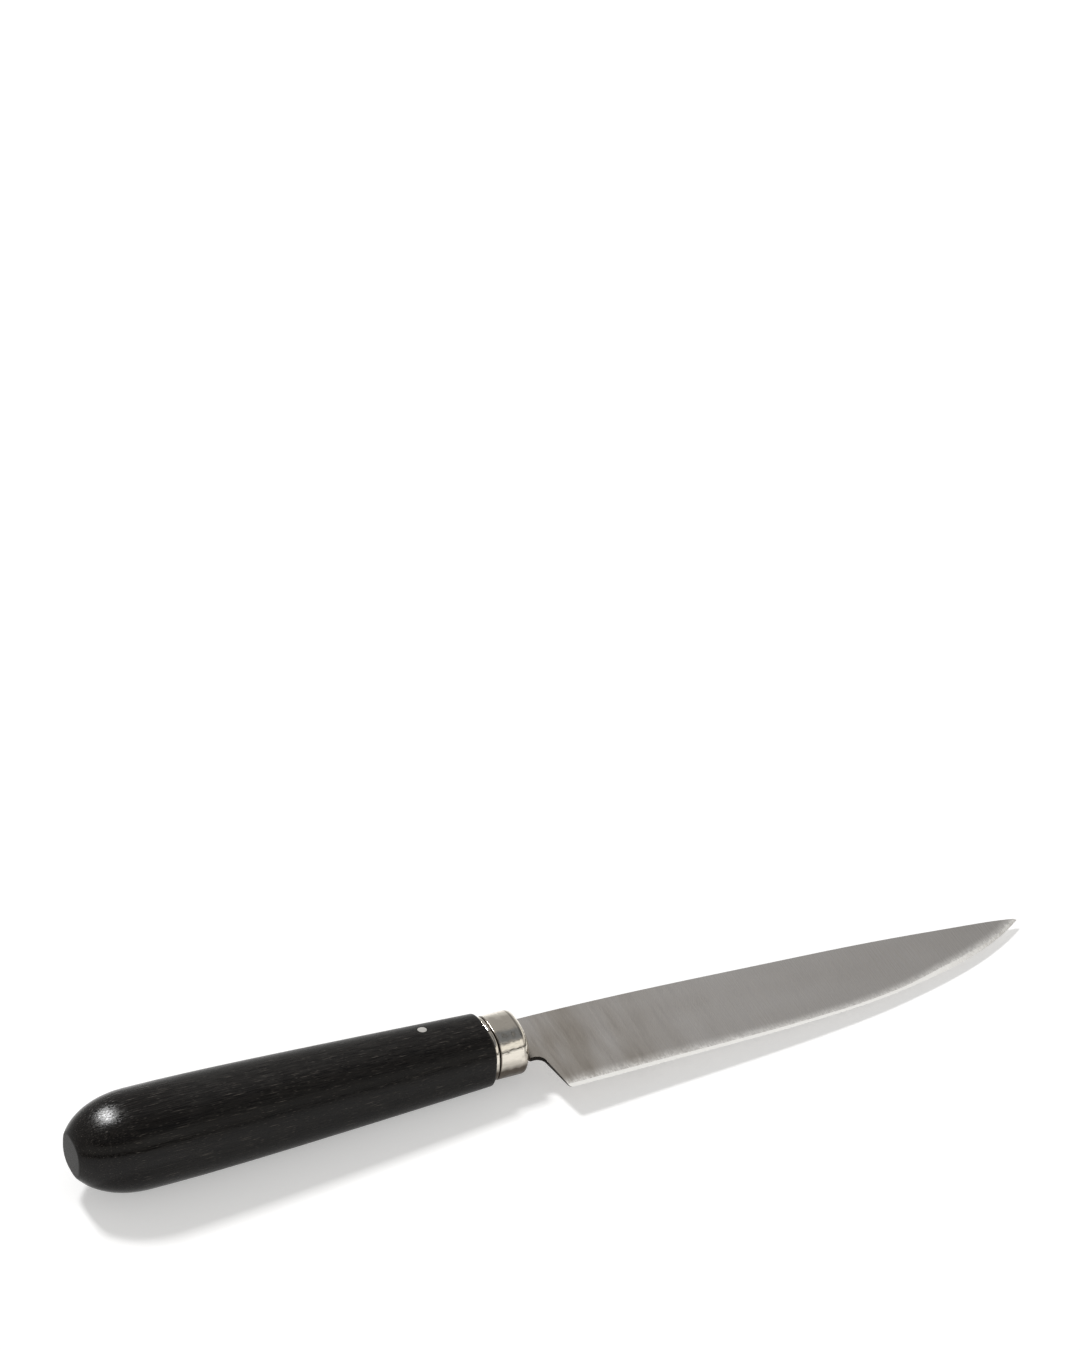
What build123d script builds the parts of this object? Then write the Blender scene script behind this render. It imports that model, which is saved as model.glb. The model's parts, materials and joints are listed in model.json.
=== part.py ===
from build123d import *
import os
from math import asin, copysign, cos, hypot, pi, radians, sin, tan

# A paring knife with a stick tang, lying on its side with the spine away from the viewer.
# It is drawn first along its own axis: X runs from the butt to the point, X zero is the
# ferrule's front face, Y points to the spine and Z is square to the blade's flats.
# At the end it is laid down at rest: Z up, the origin on the table under the middle.

# Wooden handle
handle_length = 93.5
belly_thickness = 19.15
front_thickness = 14.1
dome_length = 16.2
butt_trim = 1.5
butt_round = 0.8
shoulder_round = 0.6
belly_blend = 23.4
dome_exponent = 2.08
taper_stations = 8
dome_stations = 8
station_spread = 1.3

# Oval section shared by the handle, ring and ferrule: height over thickness, and squareness
oval_share = 1.1
oval_exponent = 2.6
oval_points = 24

# Ferrule, a collar closed in front
ferrule_length = 7.0
ferrule_thickness = 12.4
ferrule_wall = 0.9
ferrule_front_wall = 1.2
ferrule_front_round = 1.3
ferrule_back_round = 0.3

# Split wire ring between the wood and the ferrule
ring_width = 1.2
ring_round = 0.5
ring_gap = 0.25
ring_gap_angle = 103.0
tenon_clearance = 0.05

# Blade
blade_length = 122.35
spine_rise = 5.55
tip_drop = 2.4
heel_drop = 17.75
heel_setback = 4.2
heel_round = 0.9
neck_drop = 6.65
neck_step = 0.65
choil_setback = 2.65
choil_round = 2.0
spine_thickness = 1.8
tip_thickness = 1.3
edge_thickness = 0.34
cutting_bevel_angle = 10.0
right_angle = 90.0

# Spine and cutting edge, as shares of the blade's length and of the drop from end to end
spine_shares = ((0.26, 0.088), (0.5, 0.285), (0.73, 0.51), (0.89, 0.755), (0.965, 0.895))
edge_shares = (
    (0.09, 1.001), (0.2, 0.992), (0.4, 0.978), (0.55, 0.937), (0.65, 0.873),
    (0.75, 0.746), (0.85, 0.557), (0.93, 0.316), (0.975, 0.127),
)

# Tang inside the handle
tang_length = 82.0
tang_thickness = 1.6
tang_top = 4.6
tang_bottom = 3.0
tang_end_top = 4.2
tang_end_bottom = 0.4
bedding_gap = 0.5

# Slot in the ferrule's front and the seal round the neck
slot_clearance = 0.25

# Pin through the wood and the tang
pin_diameter = 2.0
pin_setback = 21.5
pin_rise = 2.75
pin_clearance = 0.1

# How the knife lies: nose down on the handle's taper, and turned a little to its edge side
rest_pitch = 2.3
rest_roll = 4.5

# Every cut runs past the faces it opens by this much
overrun = 3.0


def oval(thickness):
    """Closed rounded-oval wire round the X axis, with the given thickness."""
    power = 2 / oval_exponent
    points = []
    for step in range(oval_points):
        angle = 2 * pi * step / oval_points
        along_y = copysign(abs(cos(angle)) ** power, cos(angle))
        along_z = copysign(abs(sin(angle)) ** power, sin(angle))
        points.append((along_y * oval_share * thickness / 2, along_z * thickness / 2))
    return Spline(*points, periodic=True)


def oval_face(setback, thickness):
    """The oval as a face, square to the knife's axis, this far behind the ferrule's front."""
    station = Plane(origin=(-setback, 0, 0), x_dir=(0, 1, 0), z_dir=(1, 0, 0))
    return station * make_face(oval(thickness))


def oval_bar(back, front, thickness):
    """Straight bar with the oval section, from one setback to another."""
    return extrude(oval_face(back, thickness), amount=back - front)


def shoulder_setback():
    """Where the wood's front face stands: behind the ferrule and the ring."""
    return ferrule_length + ring_width


def handle_stations():
    """Setback and thickness of each section of the handle, from the front to the butt.

    In front of the belly the side is a hyperbola: flat at the belly, then an even taper.
    Behind it the dome is a rounded arc, trimmed at the butt."""
    front = shoulder_setback()
    belly = front + handle_length - (dome_length - butt_trim)
    full_fall = hypot(belly - front, belly_blend) - belly_blend
    stations = []
    for step in range(taper_stations, -1, -1):
        ahead = (belly - front) * (step / taper_stations) ** station_spread
        fall_share = (hypot(ahead, belly_blend) - belly_blend) / full_fall
        stations.append((belly - ahead, belly_thickness - (belly_thickness - front_thickness) * fall_share))
    last_angle = asin((dome_length - butt_trim) / dome_length)
    for step in range(1, dome_stations + 1):
        share = sin(last_angle * step / dome_stations)
        thickness = belly_thickness * (1 - share**dome_exponent) ** (1 / dome_exponent)
        stations.append((belly + share * dome_length, thickness))
    return stations


def handle_outside():
    """The turned wood without its tenon, mortise and pin hole."""
    body = loft([oval_face(setback, thickness) for setback, thickness in handle_stations()])
    body = fillet(body.edges().group_by(Axis.X)[0], radius=butt_round)
    return fillet(body.edges().group_by(Axis.X)[-1], radius=shoulder_round)


def tenon_thickness():
    """The tenon fits inside the ferrule."""
    return ferrule_thickness - 2 * ferrule_wall - 2 * tenon_clearance


def tang_blank(grow):
    """The tang, or with grow its mortise, from the inside of the ferrule's front to its end."""
    front = ferrule_front_wall
    end = tang_length + grow
    outline = Polyline(
        (-front, tang_top + grow),
        (-end, tang_end_top + grow),
        (-end, -tang_end_bottom - grow),
        (-front, -tang_bottom - grow),
        close=True,
    )
    return extrude(make_face(outline), amount=tang_thickness / 2 + grow, both=True)


def neck_block(grow, past):
    """The neck in the ferrule's front wall, or with grow its slot, this far past both faces of the wall.

    It is a step shallower there than the blade in front of it."""
    bottom = neck_drop - neck_step
    block = Box(ferrule_front_wall + 2 * past, spine_rise + bottom + 2 * grow, tang_thickness + 2 * grow)
    return Pos(-ferrule_front_wall / 2, (spine_rise - bottom) / 2, 0) * block


def pin_bore(diameter):
    """Round bar square to the flats, longer than the handle is thick."""
    bar = Cylinder(radius=diameter / 2, height=belly_thickness + overrun)
    return Pos(-pin_setback, pin_rise, 0) * bar


def make_handle(outside):
    """Turned wood with its tenon, the mortise for the tang and the pin hole."""
    tenon = oval_bar(shoulder_setback() + overrun, ferrule_front_wall, tenon_thickness())
    return outside + tenon - tang_blank(bedding_gap) - pin_bore(pin_diameter + 2 * pin_clearance)


def ferrule_outside():
    """The ferrule as a full block, rounded in front and eased behind."""
    block = oval_bar(ferrule_length, 0, ferrule_thickness)
    block = fillet(block.edges().group_by(Axis.X)[-1], radius=ferrule_front_round)
    return fillet(block.edges().group_by(Axis.X)[0], radius=ferrule_back_round)


def make_ferrule(outside):
    """Collar over the tenon, its front slotted for the blade's neck."""
    inside = ferrule_thickness - 2 * ferrule_wall
    cavity = oval_bar(ferrule_length + overrun, ferrule_front_wall, inside)
    return outside - cavity - neck_block(slot_clearance, overrun)


def make_ring():
    """Ring of rounded section, cut through once where its ends meet."""
    back = shoulder_setback()
    ring = oval_bar(back, ferrule_length, ferrule_thickness)
    ring = fillet(ring.edges(), radius=ring_round)
    ring -= oval_bar(back + overrun, ferrule_length - overrun, tenon_thickness() + 2 * tenon_clearance)
    cut = Box(ring_width + overrun, ferrule_thickness, ring_gap, align=(Align.CENTER, Align.MIN, Align.CENTER))
    cut = Rot(ring_gap_angle, 0, 0) * cut
    return ring - Pos(-(back + ferrule_length) / 2, 0, 0) * cut


def spine_line():
    """Spine from the ferrule's front to the point."""
    fall = spine_rise + tip_drop
    points = [(0, spine_rise)]
    points += [(along * blade_length, spine_rise - down * fall) for along, down in spine_shares]
    points.append((blade_length, -tip_drop))
    return Spline(*points)


def edge_line():
    """Cutting edge from the heel to the point."""
    fall = heel_drop - tip_drop
    points = [(heel_setback, -heel_drop)]
    points += [(along * blade_length, -tip_drop - down * fall) for along, down in edge_shares]
    points.append((blade_length, -tip_drop))
    return Spline(*points)


def blade_outline():
    """Side view of the blade in front of the ferrule."""
    choil = FilletPolyline(
        (0, -neck_drop),
        (choil_setback, -neck_drop),
        (heel_setback, -heel_drop),
        radius=choil_round,
    )
    back = Line((0, -neck_drop), (0, spine_rise))
    outline = make_face(Curve() + [spine_line(), edge_line(), choil, back])
    heel = outline.vertices().sort_by_distance((heel_setback, -heel_drop))[0]
    return fillet(heel, radius=heel_round)


def flat_plane():
    """Upper flat of the blade: it thins from the spine to the edge and from the ferrule to the point."""
    along = Vector(blade_length, 0, (tip_thickness - spine_thickness) / 2)
    across = Vector(0, spine_rise + heel_drop, (spine_thickness - edge_thickness) / 2)
    return Plane(origin=(0, spine_rise, spine_thickness / 2), x_dir=along, z_dir=along.cross(across))


def bevel_tool():
    """Wide block whose one side is the cutting edge, sloped inwards at the cutting bevel's angle."""
    edge = edge_line()
    heel = edge @ 0
    point = edge @ 1
    reach = spine_thickness / tan(radians(cutting_bevel_angle))
    beyond_heel = heel - (edge % 0) * (heel_setback + reach)
    beyond_point = point + (edge % 1) * reach
    top = spine_rise + reach
    rim = Polyline(beyond_heel, (beyond_heel.X, top), (beyond_point.X, top), beyond_point)
    region = make_face(Curve() + [edge, Line(heel, beyond_heel), Line(point, beyond_point), rim])
    upper = extrude(region, amount=spine_thickness, taper=right_angle - cutting_bevel_angle)
    return upper + mirror(upper, about=Plane.XY)


def make_blade():
    """Blank ground flat on both sides, then to the cutting bevel, with its neck and tang behind it."""
    blank = extrude(blade_outline(), amount=spine_thickness, both=True)
    upper = split(blank, bisect_by=flat_plane(), keep=Keep.BOTTOM)
    ground = upper & mirror(upper, about=Plane.XY) & bevel_tool()
    return ground + neck_block(0, 0) + tang_blank(0) - pin_bore(pin_diameter)


def make_pin(outside):
    """Pin filed flush with the wood on both sides."""
    return outside & pin_bore(pin_diameter)


def make_bedding(blade, pin):
    """Cement that fills the mortise round the tang and the pin."""
    return tang_blank(bedding_gap) - blade - pin


def make_neck_seal(ferrule_block, blade):
    """Filling of the slot round the neck, flush with the ferrule's front."""
    return (ferrule_block & neck_block(slot_clearance, 0)) - blade


def lay_down(pieces):
    """Turns the pieces to the rest pose and puts the origin under the middle, on the table."""
    turn = Rot(0, rest_pitch, 0) * Rot(rest_roll, 0, 0)
    turned = {name: turn * piece for name, piece in pieces.items()}
    bounds = Compound(list(turned.values())).bounding_box()
    shift = Pos(-bounds.center().X, -bounds.center().Y, -bounds.min.Z)
    return {name: shift * piece for name, piece in turned.items()}


def build_knife():
    wood_block = handle_outside()
    ferrule_block = ferrule_outside()
    blade = make_blade()
    pin = make_pin(wood_block)
    pieces = {
        "blade": blade,
        "handle": make_handle(wood_block),
        "ferrule": make_ferrule(ferrule_block),
        "ferrule_ring": make_ring(),
        "handle_pin": pin,
        "tang_bedding": make_bedding(blade, pin),
        "neck_seal": make_neck_seal(ferrule_block, blade),
    }
    return lay_down(pieces)


os.makedirs("parts", exist_ok=True)
for name, piece in build_knife().items():
    export_step(piece, f"parts/{name}.step")
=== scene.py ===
import json
from math import cos, hypot, pi, radians, sin, tan

import bmesh
import bpy
import numpy as np
from mathutils import Matrix, Vector


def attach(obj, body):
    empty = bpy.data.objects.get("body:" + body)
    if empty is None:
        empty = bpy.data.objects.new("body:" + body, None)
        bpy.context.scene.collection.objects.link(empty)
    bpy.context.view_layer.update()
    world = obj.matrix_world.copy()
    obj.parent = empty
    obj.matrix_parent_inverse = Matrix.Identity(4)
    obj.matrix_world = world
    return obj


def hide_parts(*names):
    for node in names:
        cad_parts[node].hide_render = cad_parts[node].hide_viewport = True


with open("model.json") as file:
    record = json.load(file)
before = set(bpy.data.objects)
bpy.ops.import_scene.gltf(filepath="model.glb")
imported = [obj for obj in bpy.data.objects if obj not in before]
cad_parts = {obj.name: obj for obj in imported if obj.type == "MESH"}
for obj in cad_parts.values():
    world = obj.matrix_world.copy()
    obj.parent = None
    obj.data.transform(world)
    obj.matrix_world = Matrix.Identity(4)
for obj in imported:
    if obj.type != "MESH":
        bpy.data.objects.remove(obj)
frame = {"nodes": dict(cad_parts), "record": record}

bl_info = {
    "name": "Paring knife",
    "version": (1, 0, 0),
    "blender": (4, 5, 0),
    "location": "3D View > Sidebar > Knife",
    "description": "Builds the visible pieces of a paring knife round its construction",
    "category": "Object",
}

# The knife has its own axes: X from the butt to the point, X zero at the ferrule's front face,
# Y towards the spine and Z square to the blade. Its pieces are drawn there, then laid in place.
MILLIMETRE = 0.001
TINY = MILLIMETRE / 1000
CRISP_ANGLE = radians(35)
HALVED_TO_SHARE = 1e-9
SHOULDER_SHARE = 0.02
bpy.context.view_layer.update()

# Spine and cutting edge, as shares of the blade's length and of the drop from end to end
SPINE_SHARES = ((0.26, 0.088), (0.5, 0.285), (0.73, 0.51), (0.89, 0.755), (0.965, 0.895))
EDGE_SHARES = (
    (0.09, 1.001), (0.2, 0.992), (0.4, 0.978), (0.55, 0.937), (0.65, 0.873),
    (0.75, 0.746), (0.85, 0.557), (0.93, 0.316), (0.975, 0.127),
)

# Where finishes fade along the knife, in millimetres from the ferrule's front face
WORN_DOME = (-86, -74)
BROWNING = (48, 6)
HONED_POINT = (92, 112)

# Depths from the butt between which its end grain shows, in millimetres
BUTT_RIM, BUTT_FACE = 0.7, 0.05

# Half widths of the painted dark lines round the collar, painted shade in the groove by the ring and a
# painted dark reflection at the front rim's crease, and of their darkest part, in millimetres
GROOVE_REACH, CREASE_REACH, LINE_CORE = 0.42, 0.3, 0.12

# Heights off the blade's plane between which a painted dark reflection darkens the collar's lower side and
# the painted crease line fades in, in millimetres
PAINTED_SHADE_HEIGHTS = (0.2, -1.2)
CREASE_FADE = (0.6, 2.0)

# How far the cream screen reaches round, as the cosine from its middle
SCREEN_EDGE = (-0.3, -0.22)

# How fine the blade's ground lines are along each axis, where their pattern starts, and how deep they show
GROUND_LINES = (
    ((9.0, 0.2, 0.2), (0, 0, 0), 0.35),
    ((3.0, 0.1, 0.1), (3, 1, 2), 0.55),
    ((1.0, 0.04, 0.04), (6, 4, 1), 0.3),
)

# Lesser colours of the finishes and of the screen's borders
NICKEL_SCRATCH = (0.45, 0.41, 0.35)
PIN_SCRATCH = (0.4, 0.38, 0.35)
CEMENT_GRAIN = (0.09, 0.075, 0.06)
SCREEN_DARK = (0.04, 0.036, 0.033)


def length(name, millimetres, description):
    """A length for the panel, given in millimetres and kept in metres."""
    return bpy.props.FloatProperty(
        name=name, description=description, default=millimetres * MILLIMETRE, unit="LENGTH", precision=5
    )


def angle(name, degrees, description):
    """An angle for the panel, given in degrees and kept in radians."""
    return bpy.props.FloatProperty(
        name=name, description=description, default=radians(degrees), unit="ROTATION"
    )


def number(name, value, description):
    """A plain number for the panel."""
    return bpy.props.FloatProperty(name=name, description=description, default=value)


def count(name, value, description):
    """A whole number for the panel."""
    return bpy.props.IntProperty(name=name, description=description, default=value, min=1)


def colour(name, value, description):
    """A colour for the panel."""
    return bpy.props.FloatVectorProperty(
        name=name, description=description, default=value, size=3, subtype="COLOR", min=0, max=1
    )


def section(name, kind, description):
    """A group of settings for the panel."""
    return bpy.props.PointerProperty(type=kind, name=name, description=description)


class KnifeHandleSizes(bpy.types.PropertyGroup):
    length: length("Length", 93.5, "Wood from the butt to the ring")
    belly: length("Belly thickness", 19.11, "Thickest place of the wood")
    front: length("Front thickness", 14.1, "Thickness of the wood at the ring")
    dome_length: length("Dome length", 16.2, "From the belly to the dome's untrimmed end")
    butt_trim: length("Butt trim", 1.5, "Cut off the dome's end to make the flat butt")
    butt_round: length("Butt rounding", 0.82, "Radius round the flat butt")
    shoulder_round: length("Shoulder rounding", 0.6, "Radius round the wood's front rim")
    belly_blend: length("Belly blend", 23.4, "How gently the belly runs into the taper")
    dome_exponent: number("Dome fullness", 2.08, "Power of the dome's rounded arc")
    oval_share: number("Oval share", 1.1, "Height over thickness of the section")
    oval_exponent: number("Oval squareness", 2.6, "Power of the section's rounded oval")
    mortise_gap: length("Mortise gap", 0.5, "Room round the tang in the wood")
    pin_bore: length("Pin bore", 2.2, "Hole for the pin")


class KnifeFerruleSizes(bpy.types.PropertyGroup):
    length: length("Length", 7.0, "Collar along the knife")
    thickness: length("Thickness", 12.4, "Collar across the blade's flats")
    wall: length("Wall", 0.9, "Side wall of the collar")
    front_wall: length("Front wall", 1.2, "Closed front of the collar")
    front_round: length("Front rounding", 1.3, "Radius round the front rim")
    back_round: length("Back rounding", 0.3, "Radius round the back rim")
    slot_gap: length("Slot gap", 0.25, "Room round the neck in the front wall")
    tenon_gap: length("Tenon gap", 0.05, "Room between the tenon and the collar")
    ring_width: length("Ring width", 1.2, "Split ring along the knife")
    ring_round: length("Ring rounding", 0.5, "Radius of the ring's outer corners")
    ring_gap: length("Ring gap", 0.25, "Cut where the ring's ends meet")
    ring_gap_angle: angle("Ring gap place", 103.0, "Where the ring's ends meet, from the spine side")


class KnifeBladeSizes(bpy.types.PropertyGroup):
    length: length("Length", 122.35, "From the ferrule to the point")
    spine_rise: length("Spine rise", 5.55, "Spine over the knife's axis at the ferrule")
    tip_drop: length("Tip drop", 2.4, "Point under the knife's axis")
    heel_drop: length("Heel drop", 17.735, "Heel under the knife's axis")
    heel_setback: length("Heel setback", 4.2, "Heel in front of the ferrule")
    heel_round: length("Heel rounding", 0.9, "Radius of the heel's corner")
    neck_drop: length("Neck drop", 6.65, "Neck under the knife's axis")
    neck_step: length("Neck step", 0.65, "How much shallower the neck is in the ferrule")
    choil_setback: length("Choil setback", 2.65, "Choil in front of the ferrule")
    choil_round: length("Choil rounding", 2.0, "Radius between the neck and the choil")
    spine_thickness: length("Spine thickness", 1.8, "Stock at the ferrule")
    tip_thickness: length("Tip thickness", 1.3, "Spine near the point")
    edge_thickness: length("Edge thickness", 0.34, "Behind the cutting bevel at the heel")
    bevel_heel: length("Bevel at the heel", 1.0, "Width of the cutting bevel at the heel")
    bevel_middle: length("Bevel in the middle", 0.75, "Width of the cutting bevel along the middle")
    bevel_belly: length("Bevel at the belly", 1.35, "Width of the cutting bevel where the edge turns up")
    bevel_point: length("Bevel at the point", 0.6, "Width of the cutting bevel by the point")
    haze_heel: length("Haze at the heel", 3.0, "Rubbed zone behind the bevel at the heel")
    haze_middle: length("Haze in the middle", 2.2, "Rubbed zone behind the bevel along the middle")
    corner_round: length("Corner rounding", 0.09, "Worn corners of the spine, neck and choil")
    tang_length: length("Tang length", 82.0, "From the ferrule's front into the wood")
    tang_thickness: length("Tang thickness", 1.6, "Neck and tang across the flats")
    tang_top: length("Tang top", 4.6, "Tang over the axis at the ferrule")
    tang_bottom: length("Tang bottom", 3.0, "Tang under the axis at the ferrule")
    tang_end_top: length("Tang end top", 4.2, "Tang over the axis at its end")
    tang_end_bottom: length("Tang end bottom", 0.4, "Tang under the axis at its end")
    pin_setback: length("Pin setback", 21.5, "Pin behind the ferrule's front")
    pin_rise: length("Pin rise", 2.75, "Pin over the knife's axis")
    pin_diameter: length("Pin diameter", 2.0, "Pin through the wood and the tang")


class KnifeMeshCounts(bpy.types.PropertyGroup):
    turn_steps: count("Turn steps", 192, "Steps of each turned piece round its axis")
    taper_steps: count("Taper steps", 120, "Sections along the handle's taper")
    dome_steps: count("Dome steps", 40, "Sections along the dome")
    round_steps: count("Rounding steps", 6, "Steps of each small rounding")
    blade_columns: count("Blade columns", 220, "Sections along the blade")
    blade_rows: count("Blade rows", 30, "Rows across the blade's flat")
    heel_columns: count("Heel columns", 26, "Columns over which the choil's shape runs out")


class KnifeFinish(bpy.types.PropertyGroup):
    wood_dark: colour("Wood", (0.0030, 0.0028, 0.0029), "Ground colour of the black wood")
    wood_band: colour("Wood bands", (0.0062, 0.0054, 0.0050), "Paler growth bands of the wood")
    wood_pore: colour("Wood pores", (0.125, 0.11, 0.096), "Dust in the open pores")
    wood_shine: number("Wood shine", 0.18, "How much the wood mirrors, half being the usual")
    wood_roughness: number("Wood roughness", 0.3, "Oiled and rubbed wood")
    dome_roughness: number("Dome roughness", 0.14, "Dome worn smooth by the hand")
    end_grain: number("End grain", 0.3, "How much rougher the butt's end grain is")
    steel_pale: colour("Steel", (0.65, 0.632, 0.618), "Ground steel")
    # Browner steel, laid in bands across the blade by the ferrule and on the bevel by the point
    steel_brown: colour("Steel stain", (0.41, 0.375, 0.335), "Stained steel by the ferrule")
    steel_line: colour("Steel lines", (0.24, 0.225, 0.205), "Deeper ground lines of the steel")
    # Painted highlight over freshly ground steel: the cutting bevel and the rubbed zone behind it are
    # whitened with it
    bright_steel_and_highlight: colour("Bright steel", (1.0, 0.99, 0.965), "Freshly ground cutting bevel")
    steel_scale: colour("Steel scale", (0.022, 0.019, 0.017), "Dark scale left on the neck and choil")
    steel_roughness: number("Steel roughness", 0.36, "Satin flats")
    nickel: colour("Nickel", (0.80, 0.75, 0.665), "Warm polished nickel of the ring and ferrule")
    # Painted dark reflection and shade on the collar: its lower side, the groove by the ring and the line
    # along the front rim's crease
    nickel_painted_shade: colour("Nickel tarnish", (0.13, 0.11, 0.09), "Tarnish on the collar's lower side")
    nickel_roughness: number("Nickel roughness", 0.08, "Polished collar")
    pin_metal: colour("Pin", (0.80, 0.78, 0.75), "Filed end of the pin")
    pin_roughness: number("Pin roughness", 0.3, "Filed end of the pin")
    cement: colour("Cement", (0.030, 0.024, 0.020), "Dark filling round the neck and the tang")


class KnifeStudio(bpy.types.PropertyGroup):
    view_azimuth: angle("View azimuth", 25.66, "Camera's heading, from along the width towards the point")
    view_elevation: angle("View elevation", 33.2, "Camera over the table")
    view_distance: length("View distance", 1040.0, "From the ferrule's front to the camera")
    focal_pixels: number("Focal length", 4867.2, "Camera's focal length in pixels of the frame")
    frame_width: number("Frame width", 1080, "Pixels across the frame")
    frame_height: number("Frame height", 1350, "Pixels down the frame")
    ferrule_across: number("Ferrule across", 517.0, "Pixel column of the ferrule's front")
    ferrule_down: number("Ferrule down", 1040.6, "Pixel row of the ferrule's front")
    sensor: length("Sensor", 36.0, "Camera's sensor along the frame's long side")
    floor_size: length("Floor size", 9000.0, "Side of the table top")
    floor_grey: number("Floor", 0.80, "Colour of the table top")
    floor_glow: number("Floor glow", 0.37, "White that the table shows besides its lit colour")
    key_elevation: angle("Key elevation", 52.0, "Main lamp over the table")
    key_azimuth: angle("Key azimuth", -10.0, "Main lamp's heading, from straight behind the knife")
    key_distance: length("Key distance", 3000.0, "Main lamp from the knife")
    key_size: length("Key size", 480.0, "Side of the main lamp")
    key_watts: number("Key power", 55.0, "Power of the main lamp in watts")
    front_elevation: angle("Front elevation", 33.0, "Front lamp over the table")
    front_azimuth: angle("Front azimuth", 150.0, "Front lamp's heading, from straight behind the knife")
    front_distance: length("Front distance", 1100.0, "Front lamp from the knife")
    front_size: length("Front size", 900.0, "Side of the front lamp")
    front_watts: number("Front power", 0.5, "Power of the front lamp in watts")
    sky_low: number("Sky low", 0.75, "World's brightness at the horizon")
    sky_high: number("Sky high", 0.36, "World's brightness overhead")
    sky_screen: number("Sky screen", 0.80, "Brightness of the cream screen over the front side")
    screen_azimuth: angle("Screen azimuth", 165.0, "Cream screen's heading, from straight behind the knife")


class KnifeSettings(bpy.types.PropertyGroup):
    handle: section("Handle", KnifeHandleSizes, "Sizes of the wood")
    ferrule: section("Ferrule", KnifeFerruleSizes, "Sizes of the ferrule and the ring")
    blade: section("Blade", KnifeBladeSizes, "Sizes of the blade")
    counts: section("Mesh", KnifeMeshCounts, "How finely the pieces are made")
    finish: section("Finish", KnifeFinish, "Colours and roughness")
    studio: section("Studio", KnifeStudio, "Camera, table and lamps")


def settings():
    """The knife's settings, kept on the scene."""
    return bpy.context.scene.knife


def mount_place(name):
    """Place of a mount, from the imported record."""
    mount = next(mount for mount in frame["record"]["mounts"] if mount["name"] == name)
    return Vector(mount["pos_m"])


def lie_of_the_knife():
    """Matrix from the knife's own axes to the frame, read from three mounts.

    The butt and the grip lie on the knife's axis, and the block slot lies under it in the blade's plane."""
    sizes = settings()
    butt = mount_place("butt_flat")
    along = (mount_place("grip") - butt).normalized()
    below = mount_place("block_slot") - butt
    towards_spine = -(below - along * below.dot(along)).normalized()
    off_the_flat = along.cross(towards_spine)
    origin = butt + along * (sizes.handle.length + sizes.ferrule.ring_width + sizes.ferrule.length)
    turn = Matrix((along, towards_spine, off_the_flat)).transposed()
    return Matrix.Translation(origin) @ turn.to_4x4()


def shoulder_x():
    """Where the wood's front face stands."""
    return -(settings().ferrule.length + settings().ferrule.ring_width)


def butt_x():
    """Where the flat butt stands."""
    return shoulder_x() - settings().handle.length


def tenon_half():
    """Half thickness of the tenon."""
    ferrule = settings().ferrule
    return ferrule.thickness / 2 - ferrule.wall - ferrule.tenon_gap


def handle_half(x):
    """Half thickness of the wood at x: an even taper that flattens at the belly, then a rounded dome."""
    handle = settings().handle
    belly_x = butt_x() + handle.dome_length - handle.butt_trim
    if x < belly_x:
        share = (belly_x - x) / handle.dome_length
        return handle.belly / 2 * (1 - share**handle.dome_exponent) ** (1 / handle.dome_exponent)
    full_fall = hypot(shoulder_x() - belly_x, handle.belly_blend) - handle.belly_blend
    fall_share = (hypot(x - belly_x, handle.belly_blend) - handle.belly_blend) / full_fall
    return (handle.belly - (handle.belly - handle.front) * fall_share) / 2


def on_profile(x, z):
    """A point or direction in the plane of a turned piece's profile."""
    return Vector((x, 0, z))


# Directions on such a profile
INWARDS, FORWARDS, BACKWARDS = on_profile(0, -1), on_profile(1, 0), on_profile(-1, 0)


def corner_arc(corner, towards_start, towards_end, radius, steps):
    """Points of a rounding at a corner, between the directions towards its two neighbours."""
    to_start = towards_start.normalized()
    to_end = towards_end.normalized()
    half_angle = to_start.angle(to_end) / 2
    centre = corner + (to_start + to_end).normalized() * radius / sin(half_angle)
    first = (corner + to_start * radius / tan(half_angle) - centre).normalized()
    last = (corner + to_end * radius / tan(half_angle) - centre).normalized()
    return [centre + first.slerp(last, step / steps) * radius for step in range(steps + 1)]


def mesh_object(name, bm):
    """An object made of a bmesh, which is used up."""
    mesh = bpy.data.meshes.new(name)
    bm.to_mesh(mesh)
    bm.free()
    made = bpy.data.objects.new(name, mesh)
    bpy.context.scene.collection.objects.link(made)
    return made


def new_piece(name, bm, material, replaced):
    """Lays a finished bmesh in place as an object that rides on the knife and stands for a node."""
    smooth_with_corners(bm)
    bmesh.ops.transform(bm, matrix=lie_of_the_knife(), verts=bm.verts)
    piece = mesh_object(name, bm)
    piece.data.materials.append(material)
    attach(piece, "root")
    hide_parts(replaced)


def merge(bm):
    """Joins the points of a bmesh that fall together."""
    bmesh.ops.remove_doubles(bm, verts=bm.verts, dist=TINY)


def press_oval(bm):
    """Presses a round turned shape to the knife's rounded oval, keeping its thickness."""
    handle = settings().handle
    for vert in bm.verts:
        radius = hypot(vert.co.y, vert.co.z)
        if radius > 0:
            across = abs(vert.co.y / radius / handle.oval_share) ** handle.oval_exponent
            off = abs(vert.co.z / radius) ** handle.oval_exponent
            grown = (across + off) ** (-1 / handle.oval_exponent)
            vert.co.y *= grown
            vert.co.z *= grown


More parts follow.
